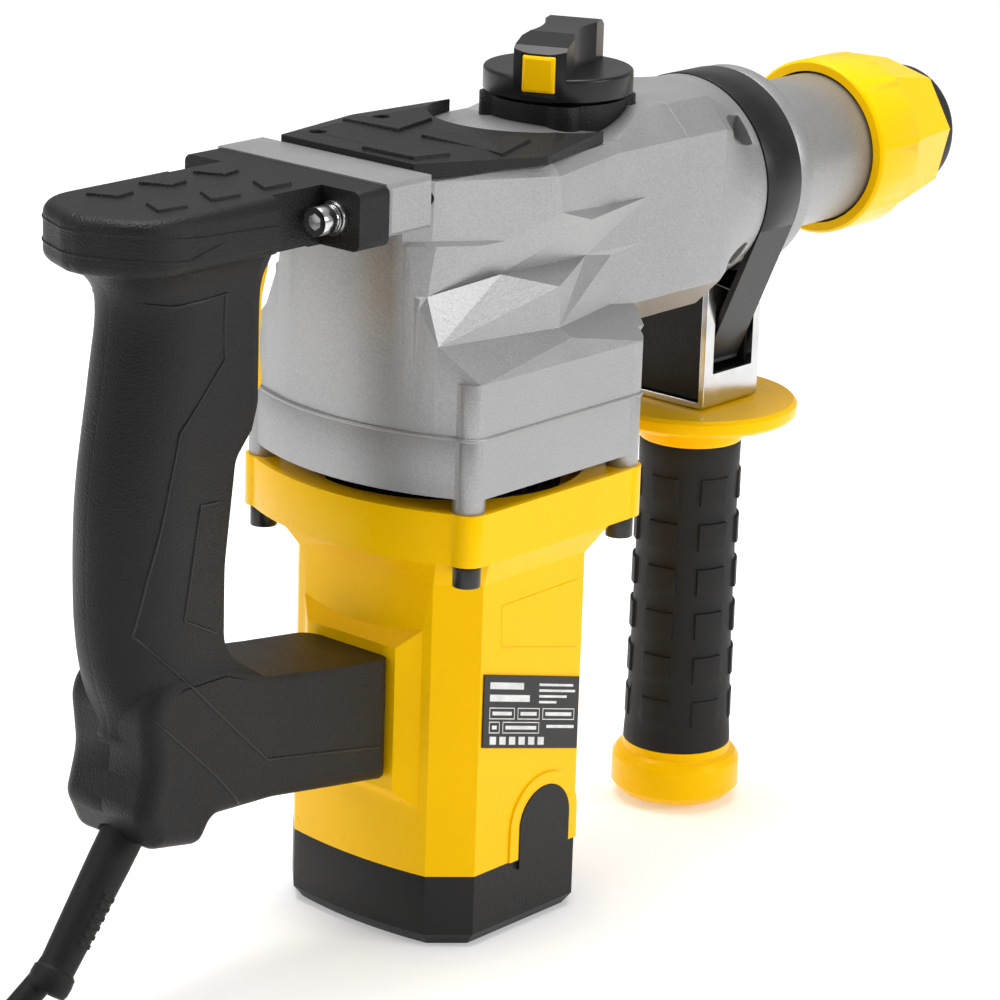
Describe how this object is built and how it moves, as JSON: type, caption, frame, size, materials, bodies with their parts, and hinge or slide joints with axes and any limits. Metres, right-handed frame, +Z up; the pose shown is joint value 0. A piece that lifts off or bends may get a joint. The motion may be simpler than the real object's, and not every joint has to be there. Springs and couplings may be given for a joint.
{
  "type": "rotary hammer",
  "caption": "Corded rotary hammer: upright motor, faceted gearbox, level barrel with sprung tool chuck, rear D handle, swivelling side handle, mode knob.",
  "frame": {"origin": "on the motor axis, in the plane of the end cap's foot that the tool stands on", "axes": "+X along the barrel to the tool, +Y to the user's left, +Z up along the motor axis"},
  "size_m": [0.5543, 0.1548, 0.274],
  "materials": {
    "cast_aluminium": "satin painted casting",
    "machined_aluminium": "brushed",
    "black_plastic": "fine leather grain",
    "black_steel": "black oxide",
    "bright_steel": "bright zinc",
    "yellow_plastic": "semi gloss moulded",
    "label_black": "printed plate",
    "laminated_steel": "laminated",
    "copper": "enamelled winding",
    "bronze": "plain",
    "black_smooth": "satin",
    "dark_steel": "ground",
    "rubber_black": "matte"
  },
  "bodies": {
    "housing": {"gearbox_housing": "cast_aluminium", "gearbox_lower_frame": "cast_aluminium", "gear_carrier": "machined_aluminium", "top_cover_plate": "black_plastic", "small_screws": "black_steel", "barrel_housing": "cast_aluminium", "barrel_screws": "bright_steel", "motor_housing": "yellow_plastic", "end_cap": "black_plastic", "flange_screws": "black_steel", "name_plate": "label_black", "stator_core": "laminated_steel", "field_coils": "copper", "brush_holders": "bronze", "carbon_brushes": "black_smooth", "armature_bearings": "dark_steel", "gear_bearings": "dark_steel", "spindle_bearings": "dark_steel", "mode_base": "black_plastic", "handle_bar": "machined_aluminium", "handle_bar_screws": "bright_steel", "handle_shell_right": "black_plastic", "handle_shell_left": "black_plastic", "handle_shell_screws": "black_steel", "switch_module": "black_smooth", "strain_relief": "rubber_black", "power_cord": "rubber_black", "cord_coil": "rubber_black", "plug": "black_plastic"},
    "armature": {"armature_shaft": "dark_steel", "armature_core": "laminated_steel", "armature_windings": "copper", "commutator": "copper", "cooling_fan": "black_smooth"},
    "crank": {"crankshaft": "dark_steel", "crank_gear": "dark_steel"},
    "layshaft": {"layshaft": "dark_steel", "lay_gear": "dark_steel"},
    "spindle": {"hammer_cylinder": "dark_steel", "bevel_ring_gear": "dark_steel", "shift_collar": "dark_steel", "tool_spindle": "dark_steel", "lock_balls": "bright_steel", "nose_cap": "rubber_black"},
    "sleeve": {"chuck_sleeve": "yellow_plastic", "chuck_spring": "bright_steel"},
    "piston": {"piston": "machined_aluminium", "wrist_pin": "dark_steel"},
    "rod": {"connecting_rod": "machined_aluminium"},
    "striker": {"striker": "dark_steel"},
    "impact_bolt": {"impact_bolt": "dark_steel"},
    "trigger": {"trigger": "yellow_plastic"},
    "mode_knob": {"mode_knob": "black_smooth"},
    "mode_button": {"mode_button": "yellow_plastic"},
    "clamp": {"strap": "black_steel", "clamp_bolt": "bright_steel", "clamp_bracket": "bright_steel", "clamp_saddle": "black_plastic"},
    "grip": {"grip_core": "yellow_plastic", "grip_rubber": "rubber_black"}
  },
  "joints": [
    {"name": "armature_spin", "type": "hinge", "parent": "housing", "child": "armature", "pos_m": [0, 0, 0.08], "axis": [0, 0, 1], "continuous": true},
    {"name": "crank_spin", "type": "hinge", "parent": "housing", "child": "crank", "pos_m": [-0.0176, 0, 0.175], "axis": [0, 0, 1], "continuous": true},
    {"name": "layshaft_spin", "type": "hinge", "parent": "housing", "child": "layshaft", "pos_m": [0.0188, 0, 0.175], "axis": [0, 0, 1], "continuous": true},
    {"name": "spindle_spin", "type": "hinge", "parent": "housing", "child": "spindle", "pos_m": [0.16, 0, 0.21685], "axis": [1, 0, 0], "continuous": true},
    {"name": "sleeve_slide", "type": "slide", "parent": "spindle", "child": "sleeve", "axis": [1, 0, 0], "range_m": [-0.006, 0], "stiffness_N_per_m": 1200, "springref_m": 0.004, "deforming": ["chuck_spring"]},
    {"name": "piston_slide", "type": "slide", "parent": "housing", "child": "piston", "axis": [1, 0, 0], "range_m": [-0.00807, 0.00993]},
    {"name": "rod_hinge", "type": "hinge", "parent": "piston", "child": "rod", "pos_m": [0.02547, 0, 0.21685], "axis": [0, 0, 1], "range_deg": [0, 23.6]},
    {"name": "striker_slide", "type": "slide", "parent": "housing", "child": "striker", "axis": [1, 0, 0], "range_m": [-0.004, 0.016]},
    {"name": "impact_bolt_slide", "type": "slide", "parent": "housing", "child": "impact_bolt", "axis": [1, 0, 0], "range_m": [-0.004, 0.006]},
    {"name": "trigger_press", "type": "slide", "parent": "housing", "child": "trigger", "axis": [-1, 0, 0], "range_m": [0, 0.006], "stiffness_N_per_m": 800, "springref_m": -0.002},
    {"name": "mode_turn", "type": "hinge", "parent": "housing", "child": "mode_knob", "pos_m": [0.049, 0, 0.26], "axis": [0, 0, 1], "range_deg": [-90, 90]},
    {"name": "mode_button_press", "type": "slide", "parent": "mode_knob", "child": "mode_button", "axis": [0.91, 0.4147, 0], "range_m": [0, 0.002], "stiffness_N_per_m": 150, "springref_m": -0.001},
    {"name": "side_handle_swing", "type": "hinge", "parent": "housing", "child": "clamp", "pos_m": [0.125, 0, 0.21685], "axis": [1, 0, 0], "range_deg": [-110, 110]},
    {"name": "grip_turn", "type": "hinge", "parent": "clamp", "child": "grip", "pos_m": [0.125, 0, 0.08], "axis": [0, 0, 1], "range_deg": [-180, 180]}
  ],
  "couplings": [
    {"joint": "crank_spin", "follows": "armature_spin", "ratio": -0.25714},
    {"joint": "layshaft_spin", "follows": "armature_spin", "ratio": -0.23684},
    {"joint": "spindle_spin", "follows": "armature_spin", "ratio": -0.055263}
  ]
}
